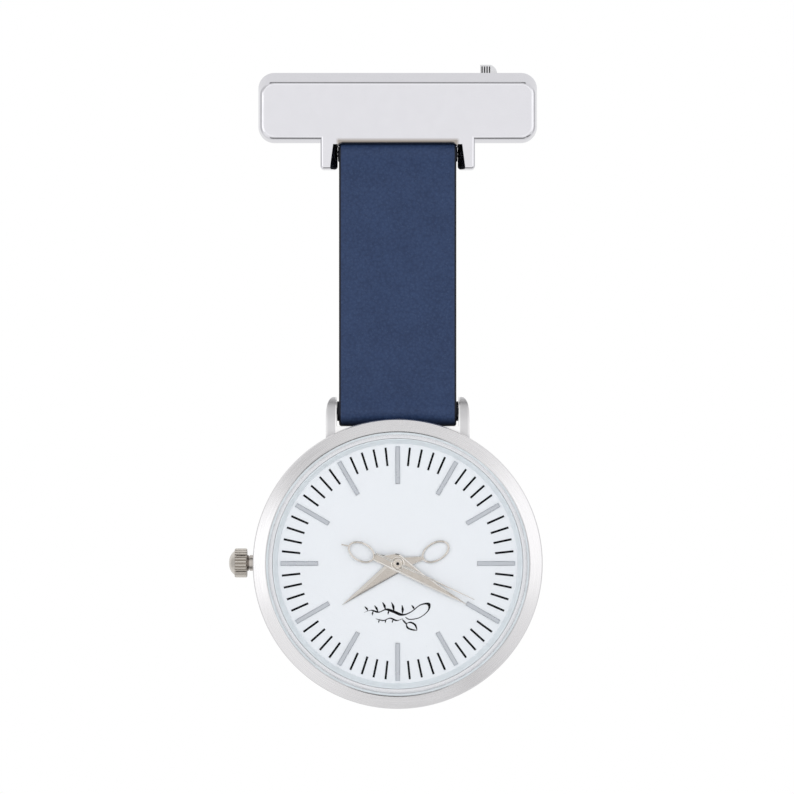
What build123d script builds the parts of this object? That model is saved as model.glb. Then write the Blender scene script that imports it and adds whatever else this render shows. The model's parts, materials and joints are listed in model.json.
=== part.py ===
"""Fob watch: a pin-on brooch bar, a folded leather strap and a round quartz head that hangs upside down.

Frame, in millimetres: X across the watch, +Z up, the dial faces -Y. The origin is on the axis of the
brooch pin, in line with the middle of the strap. Three planes organise the model. across(...) is square
to X, for spring bars, stem and catch. front(y) is seen from the front, for the brooch bar. face(h) is
parallel to the dial, h millimetres in front of the plane of both spring bars and the strap's middle.
"""

import os
from math import asin, atan2, cos, degrees, pi, radians, sin

from build123d import *

# ---------------------------------------------------------------- driving dimensions
strap_y = -3.3  # plane of the spring bars, behind which the brooch pin lies
hang_gap = 0.02  # clearance between pieces that sit in each other
run_gap = 0.03  # radial clearance of what turns

bar_width = 36.7
bar_height = 9.2
bar_top = 1.1
bar_back = 1.0  # behind the strap plane
bar_front = 2.45  # in front of the strap plane
bar_shoulder = 0.15  # where the bevels of the bar's face start
bar_corner = 2.1
face_drop = 1.42  # width of the bar's top bevel, seen from the front
face_inset = 0.3  # the same at its sides and bottom
bar_wall = 1.2
bar_edge = 0.6  # rounding round the bar's face
lip_edge = 0.4  # rounding of the lugs and of the lip between them

spring_bar_drop = 1.5  # from the bar's lower edge to the upper spring bar
lug_gap = 15.8
bar_lug_width = 2.25
bar_lug_drop = 2.08  # below the spring bar
lip_drop = 0.2  # of the lip between the lugs, below the bar's lower edge

spring_bar_radius = 0.75
spring_bar_bore = 0.5
tip_radius = 0.4
tip_reach = 1.0  # how far a tip enters its socket

strap_width = 15.44
strap_length = 33.86  # between the spring bars
leather = 1.2
loop_radius = 2.0
loop_taper = 2.6  # length over which a loop narrows to the doubled leather
relief_radius = 2.15

case_drop = 20.0  # from the lower spring bar to the middle of the case
bezel_radius = 19.0
case_lug_gap = 16.06
bezel_seat = 2.25
bezel_top = 4.0
crystal_seat = 2.9
crystal_radius = 16.97
crystal_thickness = 1.22
bezel_bore = 17.27
cavity_radius = 16.6
dial_top = 1.6
dial_thickness = 0.4
dial_radius = 16.3
back_seat = -2.05
back_outside = -2.8

stem_height = -0.2
crown_radius = 1.92
crown_face = 19.82  # where the crown begins, pulled out
tube_radius = 1.045

# ---------------------------------------------------------------- derived places
upper_bar_z = bar_top - bar_height - spring_bar_drop
lower_bar_z = upper_bar_z - strap_length
case_z = lower_bar_z - case_drop
bar_bottom = bar_top - bar_height
bar_mid = (bar_top + bar_bottom) / 2
crown_axis_y = strap_y - stem_height

PARTS_FOLDER = "parts"
os.makedirs(PARTS_FOLDER, exist_ok=True)


def along(x):
    """A plane that holds the crown's axis and is parallel to the dial, with its origin at x."""
    return Plane(origin=(x, crown_axis_y, case_z), x_dir=(1, 0, 0), z_dir=(0, -1, 0))


def across(x, y=0.0, z=0.0):
    """A plane square to X: its own x runs along Y and its own y along Z."""
    return Plane(origin=(x, y, z), x_dir=(0, 1, 0), z_dir=(1, 0, 0))


def front(y):
    """A plane seen from the front: own x along X, own y along Z, extruding towards -Y."""
    return Plane(origin=(0, y, 0), x_dir=(1, 0, 0), z_dir=(0, -1, 0))


def face(h, turn=0.0):
    """The dial's plane, h in front of the spring bars, its x axis turned up by turn degrees."""
    tilt = radians(turn)
    return Plane(origin=(0, strap_y - h, case_z), x_dir=(cos(tilt), 0, sin(tilt)), z_dir=(0, -1, 0))


def finish(builder, name):
    """Labels a finished piece and writes its STEP file."""
    builder.part.label = name
    export_step(builder.part, os.path.join(PARTS_FOLDER, name + ".step"))


def ring(low, high, outer, inner=0.0, at=(0, 0), mode=Mode.ADD):
    """A plain ring or disc parallel to the dial, from height low to height high."""
    with BuildSketch(face(low)) as disc:
        with Locations(at):
            Circle(outer)
            if inner:
                Circle(inner, mode=Mode.SUBTRACT)
    extrude(disc.sketch, amount=high - low, mode=mode)


def rod(x0, x1, radius, y, z, mode=Mode.ADD):
    """A round bar along X."""
    with BuildSketch(across(min(x0, x1), y, z)) as disc:
        Circle(radius)
    extrude(disc.sketch, amount=abs(x1 - x0), mode=mode)


# ---------------------------------------------------------------- brooch bar
def brooch_outline(y, width, height, mid, corner):
    """The rounded outline of the bar at one depth."""
    with BuildSketch(front(y)) as outline:
        with Locations((0, mid)):
            RectangleRounded(width, height, corner)
    return outline.sketch


lug_end = upper_bar_z - bar_lug_drop
lug_top = bar_bottom + 0.9
lug_back = 0.9  # behind the strap plane
lug_middle_x = (lug_gap + bar_lug_width) / 2
plate_thickness = 0.6
plate_width, plate_height, plate_corner = 34.4, 6.5, 1.2
plate_z = bar_mid + 0.45
socket_depth = tip_reach + 0.25

with BuildPart() as lug_pair:
    # two lugs hang from the bar, with a lip along its lower edge that rounds into them
    with BuildSketch(front(strap_y + lug_back)) as lugs:
        for side in (-1, 1):
            with Locations((side * lug_middle_x, (lug_top + lug_end) / 2)):
                Rectangle(bar_lug_width, lug_top - lug_end)
        lip_bottom = bar_bottom - lip_drop
        with Locations((0, (lug_top + lip_bottom) / 2)):
            Rectangle(lug_gap, lug_top - lip_bottom)
        inner = lugs.vertices().filter_by(lambda v: abs(abs(v.X) - lug_gap / 2) < 0.01)
        fillet(inner.sort_by(Axis.Y)[-2:], 0.8)
        fillet(lugs.vertices().sort_by(Axis.Y)[:4], 0.45)
    extrude(amount=lug_back + bar_front)
    front_edges = lug_pair.faces().sort_by(Axis.Y)[0].edges()
    fillet(front_edges.filter_by(lambda e: e.center().Z < lug_top - 0.05), lip_edge)

with BuildPart() as brooch_bar:
    body = brooch_outline(strap_y + bar_back, bar_width, bar_height, bar_mid, bar_corner)
    extrude(body, amount=bar_back + bar_shoulder)
    shoulder = brooch_outline(strap_y - bar_shoulder, bar_width, bar_height, bar_mid, bar_corner)
    bar_face = brooch_outline(
        strap_y - bar_front,
        bar_width - 2 * face_inset,
        bar_height - face_drop - face_inset,
        bar_mid - (face_drop - face_inset) / 2,
        bar_corner - face_inset,
    )
    loft([shoulder, bar_face], ruled=True)
    fillet(brooch_bar.faces().sort_by(Axis.Y)[0].edges(), bar_edge)
    add(lug_pair.part)
    # the strap's loop turns in a groove between the lugs
    rod(-lug_gap / 2, lug_gap / 2, relief_radius, strap_y, upper_bar_z, mode=Mode.SUBTRACT)
    # the bar is hollow behind, and a plate closes it
    with BuildSketch(front(strap_y + bar_back)):
        with Locations((0, plate_z)):
            RectangleRounded(plate_width, plate_height, plate_corner)
    extrude(amount=plate_thickness, mode=Mode.SUBTRACT)
    with BuildSketch(front(strap_y + bar_back)):
        with Locations((0, plate_z)):
            RectangleRounded(plate_width - 1.6, plate_height - 1.6, plate_corner / 2)
    extrude(amount=bar_back + bar_front - bar_wall, mode=Mode.SUBTRACT)
    for side in (-1, 1):
        mouth = side * lug_gap / 2
        socket_end = mouth + side * socket_depth
        rod(mouth, socket_end, tip_radius + run_gap, strap_y, upper_bar_z, mode=Mode.SUBTRACT)
    # the lugs' inner sides slope back from the front, more so towards their ends
    for side in (-1, 1):
        slopes = []
        for z, width in ((lug_end - 0.2, 1.06), (lip_bottom - 0.1, 0.6)):
            with BuildSketch(Plane.XY.offset(z)) as slope:
                with Locations((side * (lug_gap / 2 - 0.02), strap_y - bar_front - 0.02)):
                    Polygon((0, 0), (side * width, 0), (0, 2.2), align=None)
            slopes.append(slope.sketch)
        loft(slopes, ruled=True, mode=Mode.SUBTRACT)
finish(brooch_bar, "brooch_bar")

with BuildPart() as back_plate:
    with BuildSketch(front(strap_y + bar_back)):
        with Locations((0, plate_z)):
            RectangleRounded(plate_width - 2 * hang_gap, plate_height - 2 * hang_gap, plate_corner)
    extrude(amount=plate_thickness - hang_gap)
finish(back_plate, "brooch_back_plate")

# ---------------------------------------------------------------- brooch pin: hinge, stem and catch
hinge_x = -13.2
catch_x, catch_length = 12.06, 2.24
pin_radius, point_radius = 0.4, 0.27
eye_radius, eye_half = 0.85, 0.42
rivet_radius = 0.33
ear_inner, ear_outer = 0.46, 0.8
plate_y = strap_y + bar_back  # outer surface of the back plate
sleeve_inner, sleeve_outer = 0.5, 1.0
barrel_inner, barrel_outer = sleeve_outer + run_gap, 1.36
tab_reach = bar_top + 1.3
slot_half = 0.36

with BuildPart() as hinge_bracket:
    # a strip folded into two ears, with the rivet upright between them
    with BuildSketch(across(hinge_x - 1.1)):
        with Locations(((plate_y + 0.9) / 2, 0)):
            Rectangle(0.9 - plate_y, 2 * ear_outer)
    extrude(amount=2.2)
    with BuildSketch(across(hinge_x - 1.2)):
        with Locations(((plate_y + 0.4 + 1.5) / 2, 0)):
            Rectangle(1.5 - plate_y - 0.4, 2 * ear_inner)
    extrude(amount=2.4, mode=Mode.SUBTRACT)
    with BuildSketch(Plane.XY.offset(-2)):
        with Locations((hinge_x, 0)):
            Circle(rivet_radius)
    extrude(amount=4, mode=Mode.SUBTRACT)
finish(hinge_bracket, "pin_hinge_bracket")

with BuildPart() as hinge_rivet:
    head = 0.2
    for z, length, radius in (
        (-ear_outer - head, head, 0.55),
        (-ear_outer, 2 * ear_outer, rivet_radius),
        (ear_outer, head, 0.55),
    ):
        with BuildSketch(Plane.XY.offset(z)):
            with Locations((hinge_x, 0)):
                Circle(radius)
        extrude(amount=length)
finish(hinge_rivet, "pin_hinge_rivet")

with BuildPart() as pin_stem:
    # flattened eye and neck, round stem, slimmer end that the catch holds, and a point
    neck_end, neck_width = -11.4, 1.1
    with BuildSketch(Plane.XY.offset(-eye_half)):
        with Locations((hinge_x, 0)):
            Circle(eye_radius)
        with Locations(((hinge_x + neck_end) / 2, 0)):
            Rectangle(neck_end - hinge_x, neck_width)
    extrude(amount=2 * eye_half)
    taper_start, catch_start, point_start = 9.4, 10.3, catch_x + 1.5
    with BuildSketch(Plane.XY):
        with BuildLine():
            Polyline(
                (neck_end, 0),
                (neck_end, pin_radius),
                (taper_start, pin_radius),
                (catch_start, point_radius),
                (point_start, point_radius),
                (point_start + 1.2, 0.04),
                (point_start + 1.2, 0),
                close=True,
            )
        make_face()
    revolve(axis=Axis.X)
    with BuildSketch(Plane.XY.offset(-1)):
        with Locations((hinge_x, 0)):
            Circle(rivet_radius + run_gap)
    extrude(amount=2, mode=Mode.SUBTRACT)
finish(pin_stem, "pin_stem")


catch_start_x = catch_x - catch_length / 2
with BuildPart() as catch_barrel:
    # an open barrel on a foot: it wraps the sleeve and leaves the back and the top free
    with BuildSketch(across(catch_start_x)):
        Circle(barrel_outer)
        with Locations(((plate_y - barrel_inner) / 2, 0)):
            Rectangle(-barrel_inner - plate_y, 1.7)
        Circle(barrel_inner, mode=Mode.SUBTRACT)
        # the opening, between two angles counted from +Y towards +Z
        with BuildLine():
            open_arc = CenterArc((0, 0), 2 * barrel_outer, -30, 146)
            Line(open_arc @ 0, (0, 0))
            Line((0, 0), open_arc @ 1)
        make_face(mode=Mode.SUBTRACT)
    extrude(amount=catch_length)
finish(catch_barrel, "catch_barrel")

with BuildPart() as catch_sleeve:
    # the roll-over sleeve: its slot faces back while open, its serrated tab stands above the bar
    with BuildSketch(across(catch_start_x)):
        Circle(sleeve_outer)
        Circle(sleeve_inner, mode=Mode.SUBTRACT)
        with Locations((sleeve_outer, 0)):
            Rectangle(2 * sleeve_outer, 2 * slot_half, mode=Mode.SUBTRACT)
    extrude(amount=catch_length)
    with BuildSketch(front(0.3)):
        with BuildLine():
            tab_end = catch_start_x + catch_length
            tab_flat = catch_start_x + 1.4
            Polyline((tab_end, 0.7), (catch_start_x, 0.7), (catch_start_x, tab_reach))
            Line((catch_start_x, tab_reach), (tab_flat, tab_reach))
            RadiusArc((tab_flat, tab_reach), (tab_end, 1.2), 1.3)
            Line((tab_end, 1.2), (tab_end, 0.7))
        make_face()
    extrude(amount=0.6)
    rod(catch_start_x - 0.1, tab_end + 0.1, sleeve_inner, 0, 0, mode=Mode.SUBTRACT)
    # serrations across the tab's front
    with BuildSketch(front(-0.18)):
        for i in range(4):
            with Locations((catch_start_x + 0.24 + 0.33 * i, tab_reach - 0.65)):
                Rectangle(0.17, 0.9)
    extrude(amount=0.3, mode=Mode.SUBTRACT)
finish(catch_sleeve, "catch_sleeve")


# ---------------------------------------------------------------- spring bars, upper and lower
def spring_bar(prefix, z, gap, half_length):
    """Tube, two tips and the coil spring of one spring bar. The left tip's rod carries the spring."""
    reach = gap / 2 + tip_reach
    head = half_length - 1.6
    with BuildPart() as tube:
        rod(-half_length, half_length, spring_bar_radius, strap_y, z)
        rod(-half_length, half_length, tip_radius + hang_gap, strap_y, z, mode=Mode.SUBTRACT)
        rod(-half_length + 0.5, half_length - 0.5, spring_bar_bore, strap_y, z, mode=Mode.SUBTRACT)
        chamfer(tube.edges().filter_by(GeomType.CIRCLE).sort_by(Axis.X)[:1], 0.08)
    finish(tube, prefix + "_spring_bar_tube")
    with BuildPart() as tips:
        for side in (-1, 1):
            tip_span = sorted((side * head, side * reach))
            head_span = sorted((side * (head - 0.4), side * (half_length - 0.6)))
            rod(tip_span[0], tip_span[1], tip_radius - 0.01, strap_y, z)
            rod(head_span[0], head_span[1], spring_bar_bore - hang_gap, strap_y, z)
        rod(0.8 - head, -head + 0.1, 0.2, strap_y, z)
        rod(-head, 0, 0.2, strap_y, z)
        chamfer(tips.faces().sort_by(Axis.X)[-1].edges(), 0.12)
        chamfer(tips.faces().sort_by(Axis.X)[0].edges(), 0.12)
    finish(tips, prefix + "_spring_bar_tips")
    with BuildPart() as coil:
        turns, wire, coil_radius = 9, 0.07, 0.36
        spring_start, spring_end = 0.3, head - 0.6
        pitch = (spring_end - spring_start) / turns
        with BuildLine():
            turn = Helix(
                pitch,
                spring_end - spring_start,
                coil_radius,
                center=(spring_start, strap_y, z),
                direction=(1, 0, 0),
            )
        with BuildSketch(Plane(origin=turn @ 0, z_dir=turn % 0)):
            Circle(wire)
        sweep(is_frenet=True)
    finish(coil, prefix + "_spring_bar_coil")


spring_bar("upper", upper_bar_z, lug_gap, 7.45)
spring_bar("lower", lower_bar_z, case_lug_gap, 7.75)

# ---------------------------------------------------------------- strap
half_middle = leather + 0.02
lining_radius, lining_reach = 1.25, 7.88
with BuildPart() as strap:
    # one leather band folded round both spring bars and glued to itself in between
    with BuildSketch(across(-strap_width / 2, strap_y, 0)):
        for z, towards in ((upper_bar_z, -1), (lower_bar_z, 1)):
            with Locations((0, z)):
                Circle(loop_radius)
            # the loop narrows along tangents that leave its circle
            waist = z + towards * loop_taper
            lean = asin((loop_radius - half_middle) / loop_taper)
            leave_y, leave_z = loop_radius * cos(lean), z + towards * loop_radius * sin(lean)
            with BuildLine():
                Polyline(
                    (leave_y, leave_z),
                    (half_middle, waist),
                    (-half_middle, waist),
                    (-leave_y, leave_z),
                    close=True,
                )
            make_face()
        with Locations((0, (upper_bar_z + lower_bar_z) / 2)):
            Rectangle(2 * half_middle, strap_length - 2 * loop_taper + 0.2)
        for z in (upper_bar_z, lower_bar_z):
            with Locations((0, z)):
                Circle(spring_bar_radius + 0.08, mode=Mode.SUBTRACT)
    extrude(amount=strap_width)
    # the lower loop's lining stands out a little at both sides
    rod(-lining_reach, lining_reach, lining_radius, strap_y, lower_bar_z)
    rod(-lining_reach, lining_reach, spring_bar_radius + 0.08, strap_y, lower_bar_z, mode=Mode.SUBTRACT)
finish(strap, "strap")

# ---------------------------------------------------------------- case
lug_inner, lug_outer_base, lug_outer_tip = case_lug_gap / 2, 9.45, 9.0
case_lug_tip = case_drop + 1.87
side_top, side_bottom, case_bottom = 18.55, 17.5, -2.45


def turned(points, mode=Mode.ADD):
    """Revolves a closed outline of (radius, height) points round the case's axis."""
    flat = Plane(origin=(0, strap_y, case_z), x_dir=(1, 0, 0), z_dir=(0, 0, 1))
    with BuildSketch(flat) as outline:
        with BuildLine():
            Polyline(*[(r, -h) for r, h in points], close=True)
        make_face()
    revolve(outline.sketch, axis=Axis((0, strap_y, case_z), (0, 1, 0)), mode=mode)


with BuildPart() as case_middle:
    turned(
        (
            (0, case_bottom),
            (side_bottom, case_bottom),
            (side_top, bezel_seat - 0.25),
            (side_top, bezel_seat),
            (0, bezel_seat),
        )
    )
    # lugs: cut from a side profile, then shaped to their outline seen from the front
    with BuildSketch(across(-lug_outer_base, strap_y, case_z)) as lug_side:
        with BuildLine():
            root = case_drop - 5.5
            lug_tip = (0.25, case_lug_tip)
            Line((1.9, root), (-2.2, root))
            Line((-2.2, root), (-2.2, case_drop - 2.6))
            Spline((-2.2, case_drop - 2.6), (-1.7, case_drop + 0.2), lug_tip, tangents=((0, 1), (1, 0)))
            Spline(lug_tip, (1.55, case_drop - 0.1), (1.9, root), tangents=((1, 0), (0, -1)))
        make_face()
    extrude(amount=2 * lug_outer_base)
    with BuildSketch(face(-3)):
        with Locations((0, case_drop + 2)):
            Rectangle(case_lug_gap, 8)
    extrude(amount=6, mode=Mode.SUBTRACT)
    for side in (-1, 1):
        with BuildSketch(face(-3)):
            with BuildLine():
                start = (side * (lug_outer_base + 0.05), case_drop - 3.2)
                end = (side * 8.4, case_lug_tip + 0.02)
                outside = side * 11
                Spline(
                    start,
                    (side * 9.42, case_drop - 0.4),
                    (side * 9.14, case_drop + 1.2),
                    end,
                    tangents=((0, 1), (-side, 0.1)),
                )
                above = case_lug_tip + 1
                Polyline(end, (end[0], above), (outside, above), (outside, start[1]), start)
            make_face()
        extrude(amount=6, mode=Mode.SUBTRACT)
    ring(bezel_seat - 3.5, bezel_seat, side_top - 1.2)
    # groove for the strap's loop, neck for the bezel, cavity, back step and gasket groove
    rod(-lug_inner, lug_inner, relief_radius, strap_y, lower_bar_z, mode=Mode.SUBTRACT)
    ring(bezel_seat, bezel_seat + 0.45, 17.6)
    ring(case_bottom - 1, bezel_seat + 1, cavity_radius, mode=Mode.SUBTRACT)
    ring(case_bottom - 1, back_seat, 17.0, mode=Mode.SUBTRACT)
    ring(back_seat, back_seat + 0.2, 16.95, mode=Mode.SUBTRACT)
    for side in (-1, 1):
        mouth = side * lug_inner
        socket_end = mouth + side * (tip_reach + 0.12)
        rod(mouth, socket_end, tip_radius + run_gap, strap_y, lower_bar_z, mode=Mode.SUBTRACT)
    rod(-19, -15, tube_radius, crown_axis_y, case_z, mode=Mode.SUBTRACT)
finish(case_middle, "case_middle")

with BuildPart() as bezel:
    turned(
        (
            (17.62, bezel_seat),
            (bezel_radius - 0.2, bezel_seat),
            (bezel_radius, bezel_seat + 0.2),
            (bezel_radius, 3.25),
            (bezel_radius - 0.12, 3.45),
            (bezel_bore + 0.12, bezel_top),
            (bezel_bore, bezel_top - 0.08),
            (bezel_bore, crystal_seat),
            (16.45, crystal_seat),
            (16.45, bezel_seat + 0.47),
            (17.62, bezel_seat + 0.47),
        )
    )
finish(bezel, "bezel")

with BuildPart() as crystal:
    ring(crystal_seat + hang_gap, crystal_seat + crystal_thickness, crystal_radius)
    chamfer(crystal.edges().filter_by(GeomType.CIRCLE).sort_by(Axis.Y)[:1], 0.22)
finish(crystal, "crystal")

with BuildPart() as crystal_gasket:
    ring(crystal_seat + hang_gap, bezel_top - 0.1, bezel_bore - hang_gap, crystal_radius + hang_gap)
finish(crystal_gasket, "crystal_gasket")

with BuildPart() as chapter_ring:
    ring_low, ring_high = dial_top + 0.01, crystal_seat - 0.02
    turned(((15.75, ring_low), (16.4, ring_low), (16.4, ring_high), (16.28, ring_high)))
finish(chapter_ring, "chapter_ring")

dial_feet = ((-5.5, 5.2), (5.6, 5.2))
with BuildPart() as dial:
    ring(dial_top - dial_thickness, dial_top, dial_radius, 1.0)
    for foot in dial_feet:
        ring(0.4, dial_top - dial_thickness, 0.35, at=foot)
finish(dial, "dial")

marker_start, marker_end, marker_width, marker_height = 10.45, 15.4, 0.58, 0.2
with BuildPart() as hour_markers:
    with BuildSketch(face(dial_top)):
        with PolarLocations((marker_start + marker_end) / 2, 12):
            Rectangle(marker_end - marker_start, marker_width)
    extrude(amount=marker_height)
    chamfer(hour_markers.faces().filter_by(Axis.Y).group_by(Axis.Y)[0].edges(), 0.08)
finish(hour_markers, "hour_markers")

mark_start, mark_end, mark_width, print_height = 12.87, 15.3, 0.27, 0.03
with BuildPart() as minute_marks:
    # printed marks for the minutes between the batons
    with BuildSketch(face(dial_top)):
        for minute in range(60):
            if minute % 5:
                with PolarLocations((mark_start + mark_end) / 2, 1, start_angle=6 * minute):
                    Rectangle(mark_end - mark_start, mark_width)
    extrude(amount=print_height)
finish(minute_marks, "minute_marks")

with BuildPart() as case_back:
    ring(back_outside, back_seat - hang_gap, 16.95)
    ring(back_seat - 0.1, -1.45, 16.53, 16.22)
    chamfer(case_back.edges().filter_by(GeomType.CIRCLE).sort_by(Axis.Y)[-1:], 0.25)
    # shallow turned recess, and the notch for a case knife
    ring(back_outside, back_outside + 0.12, 14.2, 13.6, mode=Mode.SUBTRACT)
    with BuildSketch(face(back_outside + 0.35)):
        with Locations((0, -16.9)):
            Rectangle(3.0, 0.9)
    extrude(amount=0.3, mode=Mode.SUBTRACT)
finish(case_back, "case_back")

with BuildPart() as back_gasket:
    ring(back_seat, back_seat + 0.18, 16.93, 16.64)
finish(back_gasket, "case_back_gasket")

# ---------------------------------------------------------------- crown, stem and case tube
tube_end, crown_end = 20.3, 21.47
crown_cavity = 21.1
with BuildPart() as case_tube:
    rod(-tube_end, -16.75, tube_radius, crown_axis_y, case_z)
    # groove round the neck
    rod(-19.64, -19.5, tube_radius, crown_axis_y, case_z, mode=Mode.SUBTRACT)
    rod(-19.64, -19.5, tube_radius - 0.14, crown_axis_y, case_z)
    rod(-tube_end, -16.75, 0.52, crown_axis_y, case_z, mode=Mode.SUBTRACT)
finish(case_tube, "case_tube")

flutes, flute_radius = 28, 0.16
with BuildPart() as crown:
    # body with rounded edges and a domed end
    with BuildSketch(along(0)) as profile:
        with BuildLine():
            dome_end = -crown_end - 0.74
            dome_start = (-crown_end, 1.6)
            Polyline((dome_end, 0.3), (dome_end, 0), (-crown_face, 0), (-crown_face, crown_radius))
            Polyline((-crown_face, crown_radius), (-crown_end, crown_radius), dome_start)
            ThreePointArc(dome_start, (-crown_end - 0.56, 0.95), (dome_end, 0.3))
        make_face()
        fillet(profile.vertices().sort_by(Axis.Y)[-2:], 0.2)
    revolve(axis=Axis((0, crown_axis_y, case_z), (1, 0, 0)))
    with BuildSketch(across(-crown_end - 0.1, crown_axis_y, case_z)):
        with PolarLocations(crown_radius + 0.04, flutes):
            Circle(flute_radius)
    extrude(amount=crown_end - crown_face + 0.2, mode=Mode.SUBTRACT)
    rod(-crown_cavity, -crown_face, tube_radius + 0.06, crown_axis_y, case_z, mode=Mode.SUBTRACT)
    rod(-crown_face - 0.75, -crown_face - 0.35, 1.45, crown_axis_y, case_z, mode=Mode.SUBTRACT)
    rod(-crown_cavity - 0.3, -crown_cavity + 0.1, 0.4, crown_axis_y, case_z, mode=Mode.SUBTRACT)
finish(crown, "crown")

with BuildPart() as crown_gasket:
    gasket_x = -crown_face - 0.55
    with BuildSketch(along(gasket_x)):
        with Locations((0, 1.255)):
            Circle(0.175)
    revolve(axis=Axis((gasket_x, crown_axis_y, case_z), (1, 0, 0)))
finish(crown_gasket, "crown_gasket")

clutch_x = -6.9  # outer end of the sliding pinion
with BuildPart() as stem:
    rod(-crown_cavity - 0.28, -8.4, 0.4, crown_axis_y, case_z)
    rod(-8.4, -8.0, 0.24, crown_axis_y, case_z)
    rod(-8.0, -7.8, 0.4, crown_axis_y, case_z)
    rod(-4.6, -4.0, 0.18, crown_axis_y, case_z)
    with BuildSketch(across(-7.8, crown_axis_y, case_z)):
        Rectangle(0.46, 0.46)
    extrude(amount=3.2)
finish(stem, "stem")


# ---------------------------------------------------------------- gears
def mesh_phase(line, teeth_a, phase_a, teeth_b):
    """Phase of gear b so that it meshes with gear a; line is the angle from a's centre to b's."""
    behind = (line - phase_a) % (360 / teeth_a)
    return line + 180 + behind * teeth_a / teeth_b + 180 / teeth_b


def toothed(low, high, teeth, module, phase, at=(0, 0)):
    """A spur gear layer with straight-sided teeth, from height low to high."""
    pitch = pi * module
    root = module * teeth / 2 - 1.25 * module
    tall = 2.15 * module
    foot, crest = 0.3 * pitch, 0.1 * pitch
    with BuildSketch(face(low)) as wheel:
        with Locations(at):
            Circle(root)
            with PolarLocations(root, teeth, start_angle=phase):
                Polygon((-0.03, -foot), (tall, -crest), (tall, crest), (-0.03, foot), align=None)
    extrude(wheel.sketch, amount=high - low)


def polar(distance, angle, start=(0, 0)):
    """A point at a distance and an angle from another."""
    return (start[0] + distance * cos(radians(angle)), start[1] + distance * sin(radians(angle)))


def bearing(start, end):
    """The angle of the line from one point to another."""
    return degrees(atan2(end[1] - start[1], end[0] - start[0]))


plate_low, plate_high = 0.2, 0.7
bridge_low, bridge_high = -1.75, -1.5
pivot = 0.1

# going train: the seconds pinion and the centre wheel share one distance to the third wheel
fine = 0.08
third_distance = fine * (8 + 60) / 2
centre_module = 2 * third_distance / (8 + 64)
third_at = polar(third_distance, 92)
middle_at = polar(fine * (8 + 40) / 2, -110)
rotor_at = polar(fine * (6 + 36) / 2, -60, middle_at)
line_third = bearing((0, 0), third_at)
line_middle = bearing((0, 0), middle_at)
line_rotor = bearing(middle_at, rotor_at)

with BuildPart() as seconds_wheel:
    toothed(-1.15, -1.0, 40, fine, line_middle)
    toothed(-0.85, -0.5, 8, fine, line_third)
    ring(-1.5, -0.4, 0.24)
    ring(bridge_low + 0.02, 2.56, 0.14)
finish(seconds_wheel, "seconds_wheel")

with BuildPart() as third_wheel:
    toothed(-0.75, -0.6, 60, fine, mesh_phase(line_third, 8, line_third, 60), third_at)
    toothed(-0.2, 0.12, 8, centre_module, line_third + 180, third_at)
    ring(-1.4, -0.2, 0.2, at=third_at)
    ring(bridge_low + 0.02, plate_low + 0.25, pivot, at=third_at)
finish(third_wheel, "third_wheel")

with BuildPart() as centre_wheel:
    toothed(-0.1, 0.05, 64, centre_module, mesh_phase(line_third + 180, 8, line_third + 180, 64))
    ring(-0.2, 0.15, 0.85)
    ring(-0.5, 0.5, 0.45 + run_gap, mode=Mode.SUBTRACT)
finish(centre_wheel, "centre_wheel")

with BuildPart() as middle_wheel:
    toothed(-0.45, -0.3, 36, fine, line_rotor, middle_at)
    toothed(-1.17, -0.98, 8, fine, mesh_phase(line_middle, 40, line_middle, 8), middle_at)
    ring(-1.4, -0.3, 0.2, at=middle_at)
    ring(bridge_low + 0.02, plate_low + 0.25, pivot, at=middle_at)
finish(middle_wheel, "intermediate_wheel")

magnet_radius = 0.7
with BuildPart() as rotor:
    toothed(-0.47, -0.28, 6, fine, mesh_phase(line_rotor, 36, line_rotor, 6), rotor_at)
    ring(-1.1, -0.6, magnet_radius, at=rotor_at)
    ring(-1.4, -0.3, 0.16, at=rotor_at)
    ring(bridge_low + 0.02, plate_low + 0.25, pivot, at=rotor_at)
finish(rotor, "rotor")

# motion work, under the dial
coarse = 0.11
minute_at = polar(coarse * (10 + 30) / 2, 205)
setting_distance = coarse * (30 + 18) / 2
# the setting wheel sits on the stem's own line
setting_at = (minute_at[0] - (setting_distance**2 - minute_at[1] ** 2) ** 0.5, 0)
line_minute = bearing((0, 0), minute_at)
line_setting = bearing(minute_at, setting_at)
minute_phase = mesh_phase(line_minute, 10, line_minute, 30)
setting_phase = mesh_phase(line_setting, 30, minute_phase, 18)
work_low, work_high = 0.78, 0.92

with BuildPart() as cannon_pinion:
    toothed(work_low, work_high, 10, coarse, line_minute)
    ring(-0.2, 2.28, 0.45)
    ring(-0.2, 2.4, 0.2, mode=Mode.SUBTRACT)
finish(cannon_pinion, "cannon_pinion")

with BuildPart() as minute_wheel:
    toothed(work_low, work_high, 30, coarse, minute_phase, minute_at)
    toothed(0.9, 1.12, 8, coarse, line_minute, minute_at)
    ring(work_low, 1.14, 0.18, at=minute_at, mode=Mode.SUBTRACT)
finish(minute_wheel, "minute_wheel")

with BuildPart() as hour_wheel:
    toothed(0.96, 1.1, 32, coarse, mesh_phase(line_minute + 180, 8, line_minute, 32))
    ring(0.96, 1.98, 0.75)
    ring(0.9, 2.1, 0.45 + run_gap, mode=Mode.SUBTRACT)
finish(hour_wheel, "hour_wheel")

with BuildPart() as setting_wheel:
    toothed(work_low, work_high, 18, coarse, setting_phase, setting_at)
    ring(work_low, 0.95, 0.18, at=setting_at, mode=Mode.SUBTRACT)
finish(setting_wheel, "setting_wheel")

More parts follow.
